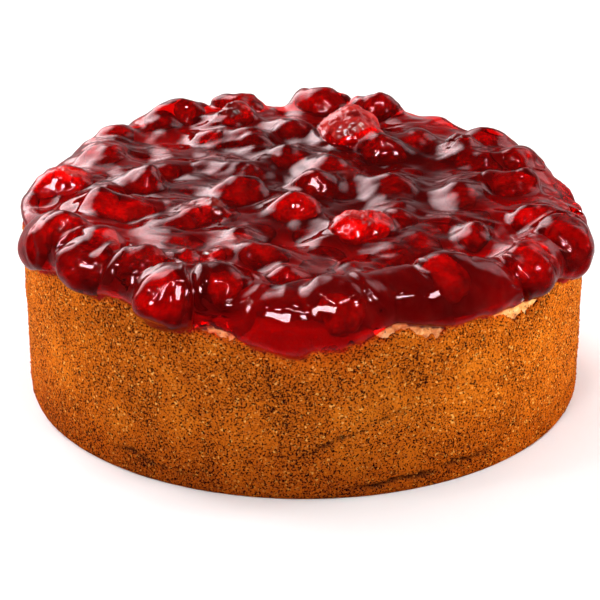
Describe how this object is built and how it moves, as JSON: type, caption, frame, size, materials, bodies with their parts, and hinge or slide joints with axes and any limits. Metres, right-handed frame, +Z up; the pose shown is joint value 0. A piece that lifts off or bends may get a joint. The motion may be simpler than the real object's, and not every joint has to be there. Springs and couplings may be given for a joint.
{
  "type": "strawberry cheesecake",
  "caption": "Round baked cheesecake in a crumb crust, its top spread with thick glossy strawberry jelly that holds whole and broken berries and runs over the edge.",
  "frame": {"origin": "middle of the flat base, where the cake rests on a surface", "axes": "+Z up, -Y towards the side seen in the picture, +X to the right of that view"},
  "size_m": [0.2087, 0.2115, 0.0825],
  "materials": {
    "crumb_crust": "dry baked biscuit crumb, stands in for a food",
    "cheese_filling": "baked soft cheese, stands in for a food",
    "strawberry_jelly": "wet clear dark red jelly, stands in for a food",
    "strawberry_skin": "cooked berry under a film of jelly, stands in for a food"
  },
  "bodies": {
    "root": {"cheese_filling": "cheese_filling", "crumb_crust": "crumb_crust", "strawberry_back_dark_seeded": "strawberry_skin", "strawberry_back_dome": "strawberry_skin", "strawberry_back_left_inner": "strawberry_skin", "strawberry_back_left_outer": "strawberry_skin", "strawberry_back_left_point": "strawberry_skin", "strawberry_back_mid": "strawberry_skin", "strawberry_back_red": "strawberry_skin", "strawberry_back_right_edge": "strawberry_skin", "strawberry_back_seeded_small": "strawberry_skin", "strawberry_broken": "strawberry_skin", "strawberry_centre_cut": "strawberry_skin", "strawberry_centre_highlight": "strawberry_skin", "strawberry_centre_point": "strawberry_skin", "strawberry_centre_right_small": "strawberry_skin", "strawberry_centre_seeded": "strawberry_skin", "strawberry_centre_smooth": "strawberry_skin", "strawberry_front_fold": "strawberry_skin", "strawberry_front_left_lobe": "strawberry_skin", "strawberry_front_mid": "strawberry_skin", "strawberry_front_mid_left": "strawberry_skin", "strawberry_front_right_wrinkled": "strawberry_skin", "strawberry_front_round": "strawberry_skin", "strawberry_front_sliver": "strawberry_skin", "strawberry_hero": "strawberry_skin", "strawberry_jelly": "strawberry_jelly", "strawberry_left_back_hump": "strawberry_skin", "strawberry_left_back_low": "strawberry_skin", "strawberry_left_dome": "strawberry_skin", "strawberry_left_front_lobe": "strawberry_skin", "strawberry_left_lobe": "strawberry_skin", "strawberry_left_long": "strawberry_skin", "strawberry_left_pair_inner": "strawberry_skin", "strawberry_left_pair_outer": "strawberry_skin", "strawberry_left_seeded": "strawberry_skin", "strawberry_left_small": "strawberry_skin", "strawberry_mid_back_crumpled": "strawberry_skin", "strawberry_mid_brown": "strawberry_skin", "strawberry_mid_glossy": "strawberry_skin", "strawberry_mid_ridge": "strawberry_skin", "strawberry_right_back_hump": "strawberry_skin", "strawberry_right_back_piece": "strawberry_skin", "strawberry_right_back_seeded": "strawberry_skin", "strawberry_right_dome": "strawberry_skin", "strawberry_right_edge": "strawberry_skin", "strawberry_right_front_lobe": "strawberry_skin", "strawberry_right_glossy": "strawberry_skin", "strawberry_right_lobe": "strawberry_skin", "strawberry_right_orange": "strawberry_skin", "strawberry_right_small": "strawberry_skin", "strawberry_right_wrinkled": "strawberry_skin"}
  },
  "joints": []
}
